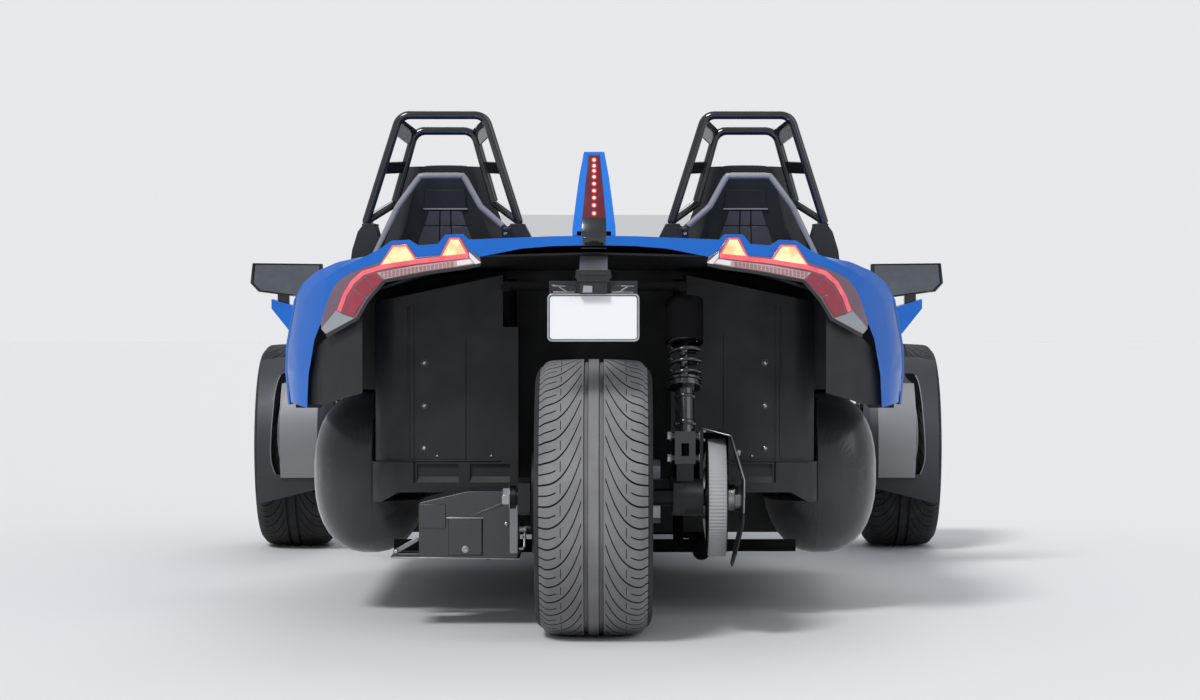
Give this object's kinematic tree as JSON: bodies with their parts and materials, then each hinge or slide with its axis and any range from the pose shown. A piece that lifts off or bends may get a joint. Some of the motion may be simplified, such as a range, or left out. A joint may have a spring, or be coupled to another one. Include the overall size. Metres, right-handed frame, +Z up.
{
  "type": "three-wheeled car",
  "caption": "Open two-seat reverse trike: two steered front wheels, a belt-driven rear wheel, hoops over the seats and a front-hinged hood.",
  "frame": {"origin": "on the ground, below the middle of the overall length and width", "axes": "+Y to the nose, +X to the vehicle's right-hand side, +Z up"},
  "size_m": [2.0702, 3.7998, 1.2464],
  "materials": {
    "frame_steel": "satin black",
    "black_moulding": "satin, lightly grained",
    "engine_metal": "cast",
    "raw_aluminium": "satin",
    "blue_paint": "metallic gloss",
    "lamp_red": "clear red lens",
    "plate_white": "reflective",
    "lamp_clear": "clear lens",
    "screen": "smoked",
    "seat_shell": "ribbed",
    "seat_cover": "padded, waterproof",
    "hoop_steel": "satin black",
    "spring_steel": "semi-gloss",
    "belt": "matte",
    "sheet_grey": "satin",
    "alloy": "machined and painted",
    "grey_panel": "satin grey paint",
    "tyre": "matte rubber"
  },
  "bodies": {
    "chassis": {"space_frame": "frame_steel", "cockpit_tub": "black_moulding", "centre_tunnel": "black_moulding", "engine": "engine_metal", "belt_drive": "raw_aluminium", "rear_deck": "blue_paint", "rear_fender_right": "blue_paint", "rear_fender_left": "blue_paint", "rear_cowl": "black_moulding", "side_pods": "black_moulding", "rear_lamps": "lamp_red", "spine_fin": "blue_paint", "plate_holder": "black_moulding", "plate": "plate_white", "side_panel_right": "blue_paint", "side_panel_left": "blue_paint", "nose": "blue_paint", "headlamps": "lamp_clear", "lower_bumper": "black_moulding", "dash": "black_moulding", "windscreen": "screen", "mirrors": "black_moulding", "seat_shells": "seat_shell", "seat_pads": "seat_cover", "hoops": "hoop_steel", "hoop_mounts": "black_moulding", "front_arms": "frame_steel", "coilovers": "spring_steel", "swingarm": "frame_steel", "rear_shock": "spring_steel", "drive_belt": "belt", "silencer": "sheet_grey"},
    "hood": {"hood": "blue_paint"},
    "steering_rack": {"steering_rack": "spring_steel"},
    "steering_wheel": {"steering_wheel": "black_moulding"},
    "front_right_knuckle": {"knuckle_right": "alloy", "front_fender_right": "grey_panel"},
    "front_left_knuckle": {"knuckle_left": "alloy", "front_fender_left": "grey_panel"},
    "front_right_wheel": {"front_rim_right": "alloy", "front_tyre_right": "tyre"},
    "front_left_wheel": {"front_rim_left": "alloy", "front_tyre_left": "tyre"},
    "rear_wheel": {"rear_axle": "raw_aluminium", "rear_rim": "alloy", "rear_tyre": "tyre"}
  },
  "joints": [
    {"name": "rear_wheel_spin", "type": "hinge", "parent": "chassis", "child": "rear_wheel", "pos_m": [0, -1.5785, 0.3215], "axis": [1, 0, 0], "continuous": true},
    {"name": "front_left_steer", "type": "hinge", "parent": "chassis", "child": "front_left_knuckle", "pos_m": [-0.8505, 1.0885, 0.31], "axis": [0, 0, 1], "range_deg": [-28, 28]},
    {"name": "front_right_steer", "type": "hinge", "parent": "chassis", "child": "front_right_knuckle", "pos_m": [0.8505, 1.0885, 0.31], "axis": [0, 0, 1], "range_deg": [-28, 28]},
    {"name": "front_left_spin", "type": "hinge", "parent": "front_left_knuckle", "child": "front_left_wheel", "pos_m": [-0.9225, 1.0885, 0.31], "axis": [1, 0, 0], "continuous": true},
    {"name": "front_right_spin", "type": "hinge", "parent": "front_right_knuckle", "child": "front_right_wheel", "pos_m": [0.9225, 1.0885, 0.31], "axis": [1, 0, 0], "continuous": true},
    {"name": "rack_slide", "type": "slide", "parent": "chassis", "child": "steering_rack", "axis": [1, 0, 0], "range_m": [-0.053, 0.053]},
    {"name": "steering_wheel_turn", "type": "hinge", "parent": "chassis", "child": "steering_wheel", "pos_m": [-0.381, -0.1735, 0.8], "axis": [0, -0.9135, 0.4067], "range_deg": [-400, 400]},
    {"name": "hood_open", "type": "hinge", "parent": "chassis", "child": "hood", "pos_m": [0, 1.62734, 0.58], "axis": [-1, 0, 0], "range_deg": [0, 55]}
  ],
  "couplings": [
    {"joint": "front_right_steer", "follows": "front_left_steer", "ratio": 1},
    {"joint": "steering_wheel_turn", "follows": "front_left_steer", "ratio": 14},
    {"joint": "rack_slide", "follows": "front_left_steer", "m_per_rad": 0.107}
  ]
}
